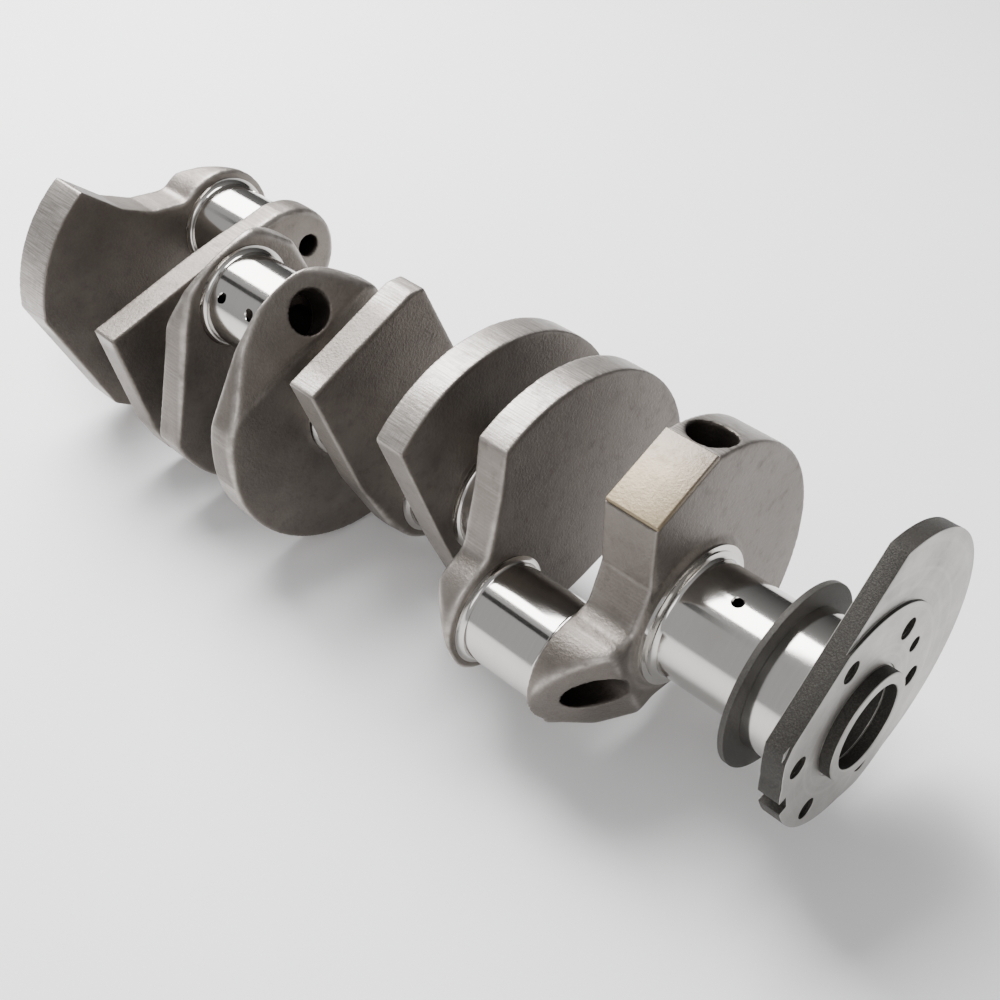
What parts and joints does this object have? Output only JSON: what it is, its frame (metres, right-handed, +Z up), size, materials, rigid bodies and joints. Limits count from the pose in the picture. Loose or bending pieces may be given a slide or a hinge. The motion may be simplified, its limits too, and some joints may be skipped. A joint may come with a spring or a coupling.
{
  "type": "crankshaft",
  "caption": "Forged cross-plane crankshaft with counterweighted webs, polished journals, an oil slinger, a keyed nose and a lobed flywheel flange with a pilot hub.",
  "frame": {"origin": "middle of main journal 3, on the main axis", "axes": "+X along the main axis from the nose to the flywheel flange, +Z up as the shaft lies, +Y completes the right hand; the shaft is rolled 23.5 degrees so that crankpin 2 leans towards -Y"},
  "size_m": [0.6386, 0.1789, 0.178],
  "materials": {
    "journal_steel": "mirror-polished ground steel",
    "forged_steel": "matte shot-blasted forging, rims turned",
    "machined_steel": "satin turned and milled faces",
    "key_steel": "plain ground bar"
  },
  "bodies": {
    "root": {"damper_seat": "journal_steel", "gear_seat": "journal_steel", "damper_key": "key_steel", "gear_key": "key_steel", "main_journal_1": "journal_steel", "main_journal_2": "journal_steel", "main_journal_3": "journal_steel", "main_journal_4": "journal_steel", "main_journal_5": "journal_steel", "crankpin_1": "journal_steel", "crankpin_2": "journal_steel", "crankpin_3": "journal_steel", "crankpin_4": "journal_steel", "web_1": "forged_steel", "web_2": "forged_steel", "web_3": "forged_steel", "web_4": "forged_steel", "web_5": "forged_steel", "web_6": "forged_steel", "web_7": "forged_steel", "web_8": "forged_steel", "thrust_collar": "machined_steel", "oil_slinger": "machined_steel", "seal_journal": "journal_steel", "rear_flange": "machined_steel", "pilot_hub": "machined_steel"}
  },
  "joints": []
}
